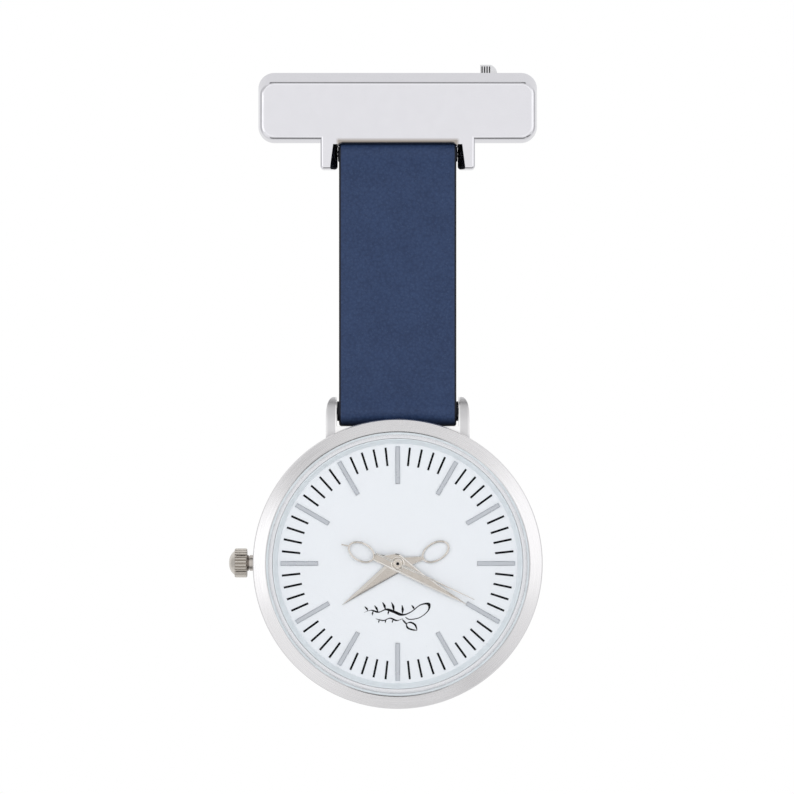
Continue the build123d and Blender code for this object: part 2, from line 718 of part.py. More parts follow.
# the sliding pinion's end teeth stand in the setting wheel's gaps
contrate_teeth, contrate_radius = 20, 1.1
setting_reach = coarse * 18 / 2
gap_turn = ((180 - setting_phase) % 20 - 10) * setting_reach / contrate_radius
clutch_end = setting_at[0] - setting_reach - 0.05
with BuildPart() as sliding_pinion:
    rod(clutch_x, clutch_end - 0.12, 0.62, crown_axis_y, case_z)
    rod(clutch_end - 0.3, clutch_end - 0.12, contrate_radius + 0.08, crown_axis_y, case_z)
    with BuildSketch(across(clutch_end - 0.12, crown_axis_y, case_z)):
        with PolarLocations(contrate_radius - 0.02, contrate_teeth, start_angle=180 - gap_turn):
            Rectangle(0.2, 0.13)
    extrude(amount=0.15)
    with BuildSketch(across(clutch_x - 0.1, crown_axis_y, case_z)):
        Rectangle(0.5, 0.5)
    extrude(amount=3, mode=Mode.SUBTRACT)
finish(sliding_pinion, "sliding_pinion")

# ---------------------------------------------------------------- movement frame
screw_places = ((-3.6, 3.9), (3.9, 2.6), (-3.4, -2.7))
battery_at, battery_radius = (5.4, -1.4), 2.9
movement_radius, movement_flat = 8.9, 7.75
coil_y, coil_left, coil_right = -6.2, -4.6, 1.5

with BuildPart() as main_plate:
    with BuildSketch(face(plate_low)):
        Circle(movement_radius)
        Rectangle(2 * movement_radius, 2 * movement_flat, mode=Mode.INTERSECT)
        with Locations(battery_at):
            Circle(battery_radius + 0.12, mode=Mode.SUBTRACT)
        Circle(0.45 + 0.05, mode=Mode.SUBTRACT)
        with Locations(*dial_feet):
            Circle(0.38, mode=Mode.SUBTRACT)
        with Locations(third_at, middle_at, rotor_at):
            Circle(pivot + 0.02, mode=Mode.SUBTRACT)
        with Locations(((clutch_x + clutch_end) / 2 - 0.2, 0)):
            Rectangle(clutch_end - clutch_x + 0.9, 2.7, mode=Mode.SUBTRACT)
        with Locations((-8, 0)):
            Rectangle(2.4, 1.0, mode=Mode.SUBTRACT)
    extrude(amount=plate_high - plate_low)
    # posts for the two loose wheels under the dial, pillars for the bridge
    for post in (minute_at, setting_at):
        ring(plate_high, 1.13, 0.15, at=post)
    for pillar in screw_places:
        ring(bridge_high, plate_low, 0.62, at=pillar)
        ring(bridge_high, plate_low, 0.3, at=pillar, mode=Mode.SUBTRACT)
finish(main_plate, "main_plate")

with BuildPart() as train_bridge:
    with BuildSketch(face(bridge_low)):
        with BuildSketch(face(bridge_low), mode=Mode.PRIVATE) as pads:
            with Locations(*screw_places):
                Circle(1.0)
            with Locations(rotor_at):
                Circle(0.8)
        make_hull(pads.sketch_local.edges())
        with Locations(*screw_places):
            Circle(0.32, mode=Mode.SUBTRACT)
        with Locations((0, 0)):
            Circle(0.16, mode=Mode.SUBTRACT)
        with Locations(third_at, middle_at, rotor_at):
            Circle(pivot + 0.02, mode=Mode.SUBTRACT)
        with Locations(battery_at):
            Circle(battery_radius + 0.15, mode=Mode.SUBTRACT)
    extrude(amount=bridge_high - bridge_low)
finish(train_bridge, "train_bridge")

with BuildPart() as bridge_screws:
    for screw in screw_places:
        ring(bridge_low - 0.22, bridge_low, 0.55, at=screw)
        ring(bridge_low, -0.4, 0.27, at=screw)
    for screw in screw_places:
        with BuildSketch(face(bridge_low - 0.22)):
            with Locations(screw):
                Rectangle(1.2, 0.14)
        extrude(amount=0.1, mode=Mode.SUBTRACT)
finish(bridge_screws, "bridge_screws")

with BuildPart() as battery:
    ring(-1.75, 0.2, battery_radius, at=battery_at)
    ring(0.2, 0.4, battery_radius - 0.45, at=battery_at)
    chamfer(battery.edges().filter_by(GeomType.CIRCLE).sort_by(Axis.Y)[-1:], 0.12)
finish(battery, "battery")

with BuildPart() as battery_clamp:
    with BuildSketch(face(bridge_low - 0.12)):
        with Locations((3.9, -0.1)):
            SlotCenterToCenter(4.0, 1.0, rotation=139)
        with Locations(battery_at):
            Circle(1.1)
    extrude(amount=0.12)
finish(battery_clamp, "battery_clamp")

stator_low, stator_high = -1.05, -0.7
with BuildPart() as stator:
    with BuildSketch(face(stator_low)):
        with BuildLine():
            Polyline(
                (coil_left - 0.9, coil_y - 0.45),
                (coil_left + 0.1, coil_y - 0.45),
                (coil_left + 0.1, coil_y + 1.2),
                (coil_right - 0.1, coil_y + 1.2),
                (coil_right - 0.1, coil_y - 0.45),
                (coil_right + 0.5, coil_y - 0.45),
                (coil_right + 0.5, rotor_at[1] + 0.3),
                (rotor_at[0] + 0.6, rotor_at[1] + 1.05),
                (rotor_at[0] - 0.7, rotor_at[1] + 1.05),
                (coil_left - 0.9, coil_y + 1.8),
                close=True,
            )
        make_face()
        with Locations(rotor_at):
            Circle(magnet_radius + 0.15, mode=Mode.SUBTRACT)
    extrude(amount=stator_high - stator_low)
finish(stator, "stator")

with BuildPart() as coil_core:
    with BuildSketch(face(stator_high + 0.01)):
        with Locations(((coil_left + coil_right) / 2 - 0.2, coil_y)):
            Rectangle(coil_right - coil_left + 1.35, 0.8)
    extrude(amount=0.3)
finish(coil_core, "coil_core")

core_middle_y = strap_y - (stator_high + 0.16)
with BuildPart() as coil_winding:
    rod(coil_left + 0.15, coil_right - 0.15, 0.74, core_middle_y, case_z + coil_y)
    with BuildSketch(across(coil_left, core_middle_y, case_z + coil_y)):
        Rectangle(0.34, 0.84)
    extrude(amount=coil_right - coil_left, mode=Mode.SUBTRACT)
finish(coil_winding, "coil_winding")

with BuildPart() as circuit_board:
    with BuildSketch(face(bridge_low)):
        with BuildLine():
            Polyline(
                (-8.0, -2.6),
                (-5.0, -2.6),
                (-4.6, -4.2),
                (0.9, -5.0),
                (1.0, -7.5),
                (-4.2, -7.5),
                (-7.5, -4.4),
                close=True,
            )
        make_face()
    extrude(amount=0.2)
finish(circuit_board, "circuit_board")

with BuildPart() as crystal_can:
    rod(-7.8, -5.6, 0.4, strap_y - (bridge_low + 0.2 + 0.4), case_z - 3.2)
finish(crystal_can, "quartz_crystal_can")

with BuildPart() as circuit_chip:
    ring(bridge_low - 0.15, bridge_low, 0.75, at=(-2.2, -5.9))
    chamfer(circuit_chip.edges().filter_by(GeomType.CIRCLE).sort_by(Axis.Y)[-1:], 0.1)
finish(circuit_chip, "circuit_chip")

lever_pivot = (-7.825, 2.6)
with BuildPart() as setting_lever:
    # a stamped lever whose stud stands in the stem's groove
    with BuildSketch(face(-0.75)):
        with BuildLine():
            Polyline(
                (-8.25, 2.8),
                (-7.45, 2.95),
                (-7.5, 1.4),
                (-7.95, 0.3),
                (-8.45, 0.3),
                (-8.4, 1.4),
                close=True,
            )
        make_face()
    extrude(amount=0.14)
    ring(-0.75, -0.1, 0.14, at=(-8.2, 0.42))
    ring(-0.75, plate_low, 0.25, at=lever_pivot)
finish(setting_lever, "setting_lever")

with BuildPart() as movement_holder:
    ring(-1.95, dial_top - dial_thickness - hang_gap, 16.15, 9.0)
    # ribs and pockets lighten the moulding
    for start in range(0, 360, 45):
        with BuildSketch(face(-1.95)):
            with BuildLine():
                inner_arc = CenterArc((0, 0), 10.4, start + 27, 31)
                outer_arc = CenterArc((0, 0), 14.9, start + 26, 33)
                Line(inner_arc @ 0, outer_arc @ 0)
                Line(inner_arc @ 1, outer_arc @ 1)
            make_face()
        extrude(amount=2.3, mode=Mode.SUBTRACT)
    rod(-17, -8, 0.62, crown_axis_y, case_z, mode=Mode.SUBTRACT)
finish(movement_holder, "movement_holder")


# ---------------------------------------------------------------- hands, the halves of a pair of scissors
hand_thickness = 0.14
wire_width = 0.24


def scissor_hand(height, turn, blade, ring_at, ring_size, ring_turn, hub, bore):
    """One half of a pair of scissors: blade and shank along its own x axis, finger ring and hub."""
    with BuildSketch(face(height, turn)) as outline:
        with Locations(ring_at):
            long_axis, short_axis = ring_size
            Ellipse(long_axis, short_axis, rotation=ring_turn)
            inside = (long_axis - wire_width, short_axis - wire_width)
            Ellipse(*inside, rotation=ring_turn, mode=Mode.SUBTRACT)
        with BuildLine():
            Polyline(*blade, close=True)
        make_face()
        Circle(hub)
    extrude(outline.sketch, amount=hand_thickness)
    ring(height - 0.1, height + hand_thickness + 0.1, bore, mode=Mode.SUBTRACT)


hour_angle, minute_angle, seconds_angle = 216.7, -30.6, -25.1
hour_hand_low, minute_hand_low, seconds_hand_low = 1.8, 2.1, 2.4

hour_outline = (
    (9.22, 0),
    (0.64, 1.08),
    (-1.46, 1.3),
    (-3.1, 1.72),
    (-3.3, 1.2),
    (-1.72, 0.16),
    (-0.86, -0.48),
    (-0.36, -0.98),
)
minute_outline = (
    (10.78, 0),
    (3.92, 0.5),
    (-0.4, 1.2),
    (-0.91, 1.01),
    (-2.01, 0.09),
    (-3.15, -0.35),
    (-2.95, -1.25),
    (0.71, -0.95),
    (5.63, -0.54),
)

with BuildPart() as hour_hand:
    hour_ring_at, hour_ring_size = (-4.91, 1.73), (2.0, 1.28)
    scissor_hand(hour_hand_low, hour_angle, hour_outline, hour_ring_at, hour_ring_size, -6, 0.95, 0.77)
finish(hour_hand, "hour_hand")

with BuildPart() as minute_hand:
    minute_ring_at, minute_ring_size = (-4.87, -1.13), (1.92, 1.28)
    scissor_hand(
        minute_hand_low,
        minute_angle,
        minute_outline,
        minute_ring_at,
        minute_ring_size,
        2.6,
        0.83,
        0.47,
    )
    # the finger rest on the ring of the minute hand
    with BuildSketch(face(minute_hand_low, minute_angle)):
        with Locations((-7.16, -1.44)):
            Rectangle(1.05, 0.22, rotation=19)
    extrude(amount=hand_thickness)
finish(minute_hand, "minute_hand")

with BuildPart() as seconds_hand:
    with BuildSketch(face(seconds_hand_low, seconds_angle)):
        with BuildLine():
            Polyline(
                (-3.15, -0.1),
                (0, -0.17),
                (11.1, -0.05),
                (11.1, 0.05),
                (0, 0.17),
                (-3.15, 0.1),
                close=True,
            )
        make_face()
    extrude(amount=0.1)
    ring(seconds_hand_low - 0.08, seconds_hand_low + 0.2, 0.65)
    ring(seconds_hand_low - 0.2, seconds_hand_low + 0.3, 0.15, mode=Mode.SUBTRACT)
finish(seconds_hand, "seconds_hand")

with BuildPart() as dial_washer:
    # the thin dished washer that keeps the hour wheel down
    ring(1.12, 1.16, 1.5, 0.8)
finish(dial_washer, "hour_wheel_washer")
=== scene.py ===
"""Looks for the fob watch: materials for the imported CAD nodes, and finer pieces where CAD is too plain.

Lengths below are in millimetres; MM turns them into Blender's metres. The frame has +Z up and the dial
facing -Y. Heights called h are counted towards the viewer from the plane of the two spring bars.
"""

import json
from math import asin, atan2, cos, hypot, pi, radians, sin

import bmesh
import bpy
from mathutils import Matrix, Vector


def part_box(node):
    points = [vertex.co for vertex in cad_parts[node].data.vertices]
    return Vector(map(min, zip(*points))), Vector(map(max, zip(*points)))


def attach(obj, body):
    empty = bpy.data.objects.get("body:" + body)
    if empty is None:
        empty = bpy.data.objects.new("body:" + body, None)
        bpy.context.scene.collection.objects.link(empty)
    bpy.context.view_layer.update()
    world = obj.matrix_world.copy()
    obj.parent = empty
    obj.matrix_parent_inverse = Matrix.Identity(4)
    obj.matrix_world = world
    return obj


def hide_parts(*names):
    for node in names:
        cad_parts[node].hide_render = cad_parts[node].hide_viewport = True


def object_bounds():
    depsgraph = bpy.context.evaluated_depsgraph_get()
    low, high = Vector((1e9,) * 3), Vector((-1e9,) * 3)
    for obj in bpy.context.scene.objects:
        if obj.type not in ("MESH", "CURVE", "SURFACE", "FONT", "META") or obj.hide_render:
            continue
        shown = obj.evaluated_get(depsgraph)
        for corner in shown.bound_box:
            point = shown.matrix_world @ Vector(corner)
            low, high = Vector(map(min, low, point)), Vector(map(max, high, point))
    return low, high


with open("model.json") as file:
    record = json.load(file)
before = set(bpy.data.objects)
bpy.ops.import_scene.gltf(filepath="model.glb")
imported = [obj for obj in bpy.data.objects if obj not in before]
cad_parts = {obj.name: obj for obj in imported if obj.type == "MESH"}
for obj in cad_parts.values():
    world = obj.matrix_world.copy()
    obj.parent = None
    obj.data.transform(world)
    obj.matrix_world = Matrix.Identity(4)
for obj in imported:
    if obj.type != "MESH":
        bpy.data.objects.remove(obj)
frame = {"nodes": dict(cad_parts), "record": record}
cad_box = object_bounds()

MM = 0.001


def box(node):
    """The lowest and highest corners of a CAD node, in millimetres."""
    low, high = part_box(node)
    return low / MM, high / MM


def middle(node):
    """The middle of a CAD node's box, in millimetres."""
    low, high = box(node)
    return (low + high) / 2


case_centre = middle("bezel")
upper_axis = middle("upper_spring_bar_tube")
lower_axis = middle("lower_spring_bar_tube")
strap_plane = upper_axis.y
strap_half_width, edge_round = 7.72, 0.3


def heights(node):
    """Back and front of a piece that lies parallel to the dial, as heights h."""
    low, high = box(node)
    return strap_plane - high.y, strap_plane - low.y


# ------------------------------------------------------------------ meshes
def put(name, data):
    """A new object in the scene."""
    thing = bpy.data.objects.new(name, data)
    bpy.context.scene.collection.objects.link(thing)
    return thing


def soften(mesh, angle=32):
    """Smooth shading, with edges sharper than the angle kept crisp."""
    bm = bmesh.new()
    bm.from_mesh(mesh)
    limit = radians(angle)
    for f in bm.faces:
        f.smooth = True
    for e in bm.edges:
        e.smooth = e.calc_face_angle(pi) < limit
    bm.to_mesh(mesh)
    bm.free()


class Shape:
    """Points in millimetres and faces, gathered for one piece."""

    def __init__(self):
        self.points, self.faces = [], []

    def add(self, points):
        """Adds points and returns their indices."""
        start = len(self.points)
        self.points += [tuple(p) for p in points]
        return list(range(start, len(self.points)))

    def band(self, a, b):
        """A band of quads between two closed rows of points."""
        for i in range(len(a)):
            j = (i + 1) % len(a)
            self.faces.append((a[i], a[j], b[j], b[i]))

    def bands(self, rows):
        """Bands between each row and the next."""
        for a, b in zip(rows, rows[1:]):
            self.band(a, b)

    def cap(self, first, last):
        """Closes both ends of a run of rows."""
        self.faces.append(tuple(first))
        self.faces.append(tuple(reversed(last)))

    def piece(self, name, body, slot, angle=40, stands_for=()):
        """Makes the piece, which rides on a body and has its slot's look."""
        mesh = bpy.data.meshes.new(name)
        mesh.from_pydata([tuple(c * MM for c in p) for p in self.points], [], self.faces)
        bm = bmesh.new()
        bm.from_mesh(mesh)
        bmesh.ops.recalc_face_normals(bm, faces=bm.faces)
        bm.to_mesh(mesh)
        bm.free()
        mesh.validate()
        soften(mesh, angle)
        mesh.materials.append(looks[slot])
        thing = put(name, mesh)
        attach(thing, body)
        if stands_for:
            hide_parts(*stands_for)
        return thing


def over(x, z, h):
    """A point of the watch head: x and z from the case's axis, at height h."""
    return (case_centre.x + x, strap_plane - h, case_centre.z + z)


def turned_by(angle):
    """Returns a function that takes a hand's own coordinates to x and z from the case's axis."""
    a = radians(angle)
    return lambda x, y: (x * cos(a) - y * sin(a), x * sin(a) + y * cos(a))


# ------------------------------------------------------------------ materials
class Nodes:
    """Nodes being added to a tree. An input is a socket to link, or a value."""

    def __init__(self, tree):
        self.tree = tree

    def node(self, kind, inputs=None, **settings):
        made = self.tree.nodes.new(kind)
        for name, value in settings.items():
            setattr(made, name, value)
        for socket, value in (inputs or {}).items():
            if isinstance(value, bpy.types.NodeSocket):
                self.tree.links.new(value, made.inputs[socket])
            else:
                made.inputs[socket].default_value = value
        return made

    def math(self, operation, *values):
        return self.node("ShaderNodeMath", dict(enumerate(values)), operation=operation).outputs[0]

    def times(self, a, b):
        return self.math("MULTIPLY", a, b)

    def hypot(self, a, b):
        return self.math("SQRT", self.math("ADD", self.times(a, a), self.times(b, b)))

    def xyz(self, vector):
        return self.node("ShaderNodeSeparateXYZ", {0: vector}).outputs

    def spread(self, value, low, high, start=0.35, end=0.65):
        """Maps a value onto the range low to high. Most noise lies between the usual start and end."""
        inputs = {"Value": value, "From Min": start, "From Max": end, "To Min": low, "To Max": high}
        return self.node("ShaderNodeMapRange", inputs).outputs[0]

    def mixed(self, part, a, b):
        """Colour a where part is 0, b where it is 1; either may be a socket."""
        inputs = {0: part}
        for socket, value in ((6, a), (7, b)):
            inputs[socket] = value if isinstance(value, bpy.types.NodeSocket) else (*value, 1)
        return self.node("ShaderNodeMix", inputs, data_type="RGBA").outputs[2]


class Paint(Nodes):
    """A node material being built. Values that are the same all over go straight on the shader's sockets."""

    def __init__(self, name, colour, rough, metal=0.0, **sockets):
        self.material = bpy.data.materials.new(name)
        self.material.use_nodes = True
        super().__init__(self.material.node_tree)
        self.shader = self.tree.nodes["Principled BSDF"]
        self.shader.inputs["Metallic"].default_value = metal
        self.shader.inputs["Roughness"].default_value = rough
        self.shader.inputs["Base Color"].default_value = (*colour, 1)
        for socket, value in sockets.items():
            self.shader.inputs[socket.replace("_", " ")].default_value = value
        self.relief = None
        coordinates = self.node("ShaderNodeTexCoord").outputs
        self.place, self.normal = coordinates["Object"], coordinates["Normal"]

    def split(self):
        """Object coordinates as three sockets, in metres."""
        return self.xyz(self.place)

    def across(self, distance, low, high, start, end):
        """Maps a distance, a socket in metres, onto low to high, with start and end in millimetres."""
        return self.spread(distance, low, high, start * MM, end * MM)

    def stretch(self, scale):
        """Object coordinates scaled, so that a noise on them is drawn out along one axis."""
        return self.node("ShaderNodeMapping", {"Vector": self.place, "Scale": scale}).outputs[0]

    def around(self, centre, per_turn):
        """Coordinates along circles round an axis along Y: radius and depth in millimetres, and angle."""
        inputs = {0: self.place, 1: tuple(-c * MM for c in centre)}
        x, y, z = self.xyz(self.node("ShaderNodeVectorMath", inputs).outputs[0])
        radius = self.times(self.hypot(x, z), 1 / MM)
        angle = self.times(self.math("ARCTAN2", z, x), per_turn)
        return self.node("ShaderNodeCombineXYZ", {0: radius, 1: angle, 2: self.times(y, 1 / MM)}).outputs[0]

    def noise(self, scale, detail=3.0, place=None, roughness=0.55):
        inputs = {"Vector": place or self.place, "Scale": scale, "Detail": detail, "Roughness": roughness}
        return self.node("ShaderNodeTexNoise", inputs).outputs["Fac"]

    def colour(self, socket):
        self.tree.links.new(socket, self.shader.inputs["Base Color"])

    def tint(self, texture, dark, light):
        """Colours the surface between two colours by a texture."""
        self.colour(self.mixed(self.spread(texture, 0, 1), dark, light))

    def gloss(self, value, low, high, start=0.35, end=0.65):
        self.tree.links.new(self.spread(value, low, high, start, end), self.shader.inputs["Roughness"])

    def bump(self, texture, depth, strength=1.0):
        """Adds relief of a real depth; calls add up."""
        inputs = {"Height": texture, "Distance": depth * MM, "Strength": strength}
        if self.relief:
            inputs["Normal"] = self.relief
        self.relief = self.node("ShaderNodeBump", inputs).outputs[0]
        self.tree.links.new(self.relief, self.shader.inputs["Normal"])


def shade(colour, factor):
    """A colour made darker or lighter."""
    return tuple(min(1.0, c * factor) for c in colour)


def either_side(colour, contrast):
    """A colour a little darker, and a little lighter."""
    return shade(colour, 1 - contrast), shade(colour, 1 + contrast)


def polished(name, colour, rough=0.07, wear=0.05):
    """Bright metal with faint wiping marks."""
    paint = Paint(name, colour, rough, metal=1.0)
    paint.tint(paint.noise(160, 2), shade(colour, 0.98), shade(colour, 1.01))
    paint.gloss(paint.noise(420, 4), rough * 0.7, rough + wear)
    return paint.material


def cut_edges(name, face, edge, rough):
    """Metal with a worn face, which looks straight out of the dial, and polished bevels painted a brighter
    colour as a highlight; steep sides and the low wire get painted shade.
    """
    paint = Paint(name, face, rough, metal=1.0)
    worn = paint.mixed(paint.spread(paint.noise(700, 3), 0, 1), *either_side(face, 0.04))
    outward = paint.xyz(paint.normal)[1]
    polished_bevel_highlight = paint.spread(outward, 0, 1, -0.985, -0.94)
    steep_painted_shade = paint.spread(outward, 0, 0.75, -0.62, -0.3)  # painted shade low on the wire and on the sides
    # bevels that face almost straight out take the bright edge colour: polished metal with a painted
    # highlight
    bevelled = paint.mixed(polished_bevel_highlight, worn, edge)
    paint.colour(paint.mixed(steep_painted_shade, bevelled, shade(face, 0.45)))
    paint.gloss(paint.noise(420, 4), rough * 0.7, rough * 1.4)
    return paint.material


def streaked(paint, streak, colour, rough, depth, contrast):
    """Brush lines, which show in colour, gloss and relief."""
    paint.tint(streak, *either_side(colour, contrast))
    paint.gloss(streak, rough * 0.75, rough * 1.3)
    paint.bump(streak, depth)
    return paint.material


def brushed(name, colour, rough=0.24, along=(1, 0, 0), lines=9, depth=0.0012, contrast=0.06):
    """Metal with straight brush lines along one axis, so many to the millimetre."""
    paint = Paint(name, colour, rough, metal=1.0)
    drawn_out = paint.stretch(tuple(0.04 if a else 1.0 for a in along))
    return streaked(paint, paint.noise(lines / MM, 3, drawn_out, 0.7), colour, rough, depth, contrast)


def turned(name, colour, centre, rough=0.22, lines=9, depth=0.001, contrast=0.06, metal=1.0):
    """Metal or lacquer with circular brush lines round an axis along Y."""
    paint = Paint(name, colour, rough, metal=metal)
    drawn_round = paint.around(centre, 0.35)
    return streaked(paint, paint.noise(lines, 3, drawn_round, 0.7), colour, rough, depth, contrast)


def lug_steel(name, colour, rough=0.42):
    """Satin steel whose lugs have narrow polished edges, painted a lighter colour as a highlight."""
    inner_edge, outer_edge, root = 8.2, 9.1, 16.5  # of a lug: from the middle, and above the case's axis
    paint = Paint(name, colour, rough, metal=1.0)
    streak = paint.noise(5000, 3, paint.stretch((1, 1, 0.04)), 0.7)
    satin = paint.mixed(paint.spread(streak, 0, 1), *either_side(colour, 0.015))
    x, _, z = paint.split()
    side = paint.math("ABSOLUTE", x)
    inner = paint.across(side, 1, 0, inner_edge - 0.04, inner_edge + 0.04)
    outer = paint.across(side, 0, 0.6, outer_edge, outer_edge + 0.3)
    on_lugs = paint.across(z, 0, 1, case_centre.z + root, case_centre.z + root + 0.5)
    polish = paint.times(paint.math("MAXIMUM", inner, outer), on_lugs)
    # the edges' light colour is a painted highlight; their lower roughness is the real polish
    paint.colour(paint.mixed(polish, satin, (0.97, 0.965, 0.96)))
    paint.gloss(polish, rough, 0.3, 0, 1)
    return paint.material


def darkened_metal(name, clean, dark_colour, rough, dark_mask, contrast=0.035):
    """Metal darkened inside a mask, which the given function makes: painted shade on the bar's lip, the
    tube's end and the catch's grooves, and darker flute bottoms on the crown.
    """
    paint = Paint(name, clean, rough, metal=1.0)
    worn = paint.mixed(paint.spread(paint.noise(500, 3), 0, 1), *either_side(clean, contrast))
    paint.colour(paint.mixed(dark_mask(paint), worn, dark_colour))
    paint.gloss(paint.noise(900, 4), rough * 0.8, rough * 1.25)
    return paint.material


def in_flutes(paint):
    """Where the crown's flutes are, from the distance to its axis."""
    flute_bottom, flute_top = 0.12, 0.03  # below the crown's radius
    dome = 0.72
    axis = middle("crown")
    low, high = box("crown")
    radius = (high.z - low.z) / 2
    x, y, z = paint.split()
    away = paint.hypot(paint.math("SUBTRACT", y, axis.y * MM), paint.math("SUBTRACT", z, axis.z * MM))
    deep = paint.across(away, 1, 0, radius - flute_bottom, radius - flute_top)
    before_dome = paint.across(x, 0, 1, low.x + dome, low.x + dome + 0.1)
    return paint.times(deep, before_dome)


def in_collar(paint):
    """The end of the case tube, in the shade of the crown."""
    tube_end = -19.62
    return paint.across(paint.split()[0], 1, 0, tube_end, tube_end + 0.12)


def lip_painted_shade(paint):
    """Painted shade on the lower edge of the bar between its lugs, where it faces down to the leather."""
    lug_side, lip_edge, lug_top = 7.75, -7.95, -8.6
    x, _, z = paint.split()
    between = paint.across(paint.math("ABSOLUTE", x), 1, 0, lug_side, lug_side + 0.4)
    edge = paint.across(z, 1, 0, lip_edge, lip_edge + 0.4)
    not_lugs = paint.across(z, 0, 1, lug_top - 0.3, lug_top)
    return paint.times(paint.times(between, edge), not_lugs)


def in_serrations(paint):
    """Painted shade in the bottoms of the grooves in the catch's tab."""
    tab_front, tab_back, groove_end, land = -0.285, -0.14, 1.25, 0.2
    tab_top = box("catch_sleeve")[1].z
    _, y, z = paint.split()
    behind_front = paint.across(y, 0, 1, tab_front, tab_front + 0.025)
    in_front = paint.across(y, 1, 0, tab_back - 0.02, tab_back)
    up = paint.across(z, 0, 1, groove_end, groove_end + 0.05)
    under_top = paint.across(z, 1, 0, tab_top - land, tab_top - land + 0.05)
    return paint.times(paint.times(behind_front, in_front), paint.times(up, under_top))


def ink(name):
    """Matt black printing ink."""
    paint = Paint(name, (0.003, 0.003, 0.004), 0.55, Specular_IOR_Level=0.08)
    paint.tint(paint.noise(2500, 3), (0.002, 0.002, 0.003), (0.006, 0.006, 0.008))
    paint.gloss(paint.noise(4000, 3), 0.5, 0.65)
    return paint.material


def moulded(name, colour, rough=0.5, grain=900, depth=0.004, metal=0.0, contrast=0.05):
    """Plastic, rubber or lacquer with a fine even grain."""
    paint = Paint(name, colour, rough, metal=metal)
    speckle = paint.noise(grain * 5, 4)
    paint.tint(paint.noise(grain, 2), *either_side(colour, contrast))
    paint.gloss(speckle, rough * 0.85, rough * 1.15)
    paint.bump(speckle, depth)
    return paint.material


def leather():
    """Navy leather: pebbled grain of two sizes, clouded dye, and dark painted edges with a glued seam; the
    same dark colour paints shade round the two loops and on the linings.
    """
    dark, light, speck = (0.0145, 0.032, 0.088), (0.0255, 0.051, 0.127), (0.045, 0.08, 0.165)
    edge_and_shade_colour, seam = (0.004, 0.005, 0.011), (0.0015, 0.002, 0.004)
    paint = Paint("navy leather", light, 0.5, Specular_IOR_Level=0.3)
    cells = {"Vector": paint.place, "Scale": 2600.0}
    pebble = paint.node("ShaderNodeTexVoronoi", cells, feature="F1").outputs["Distance"]
    fine, cloud = paint.noise(9000, 3), paint.noise(260, 4)
    both = paint.math("ADD", paint.times(pebble, 0.5), paint.times(cloud, 0.6))
    clouded = paint.mixed(paint.spread(both, 0, 1, 0.25, 0.75), light, dark)
    specks = paint.spread(paint.noise(5200, 2, None, 0.7), 0, 0.5, 0.56, 0.72)
    dyed = paint.mixed(specks, clouded, speck)
    x, y, z = paint.split()
    painted_from = strap_half_width - edge_round
    # the edge colour also covers the linings, which stand out past the strap's sides, as painted shade
    painted = paint.across(paint.math("ABSOLUTE", x), 0, 1, painted_from, painted_from + 0.1)
    # painted shade where the leather turns round the two loops
    shade_under_loop = paint.across(z, 0.9, 0, lower_axis.z - 1.9, lower_axis.z - 0.8)
    rising = paint.across(z, 0, 0.75, upper_axis.z + 1.05, upper_axis.z + 1.25)
    shade_over_loop = paint.times(rising, paint.across(z, 1, 0, upper_axis.z + 1.35, upper_axis.z + 1.6))
    # the dark edge colour covers the painted edges and the painted shade
    edges_and_shade_mask = paint.math("MAXIMUM", painted, paint.math("MAXIMUM", shade_under_loop, shade_over_loop))
    edges_and_shade_coloured = paint.mixed(edges_and_shade_mask, dyed, edge_and_shade_colour)
    off_seam = paint.math("ABSOLUTE", paint.math("SUBTRACT", y, strap_plane * MM))
    paint.colour(paint.mixed(paint.across(off_seam, 1, 0, 0.04, 0.1), edges_and_shade_coloured, seam))
    paint.gloss(fine, 0.42, 0.6)
    paint.bump(paint.math("SUBTRACT", 1.0, pebble), 0.05, 0.8)
    paint.bump(fine, 0.02, 0.6)
    return paint.material


def glass(name, tint):
    """Clear glass: light goes straight through, and the surface mirrors more at a slant."""
    straight_on, at_a_slant = 0.002, 0.6
    material = bpy.data.materials.new(name)
    material.use_nodes = True
    made = Nodes(material.node_tree)
    made.tree.nodes.remove(made.tree.nodes["Principled BSDF"])
    through = made.node("ShaderNodeBsdfTransparent", {"Color": (*tint, 1)})
    shine = made.node("ShaderNodeBsdfGlossy", {"Roughness": 0.02})
    slant = made.node("ShaderNodeLayerWeight", {"Blend": 0.1}).outputs["Facing"]
    mirrored = made.math("MULTIPLY_ADD", slant, at_a_slant, straight_on)
    mix = made.node("ShaderNodeMixShader", {0: mirrored, 1: through.outputs[0], 2: shine.outputs[0]})
    made.tree.links.new(mix.outputs[0], made.tree.nodes["Material Output"].inputs["Surface"])
    return material


chrome = (0.78, 0.775, 0.805)
steel = (0.74, 0.74, 0.75)
dial_white = (0.875, 0.887, 0.903)
across, upright = (1, 0, 0), (0, 0, 1)
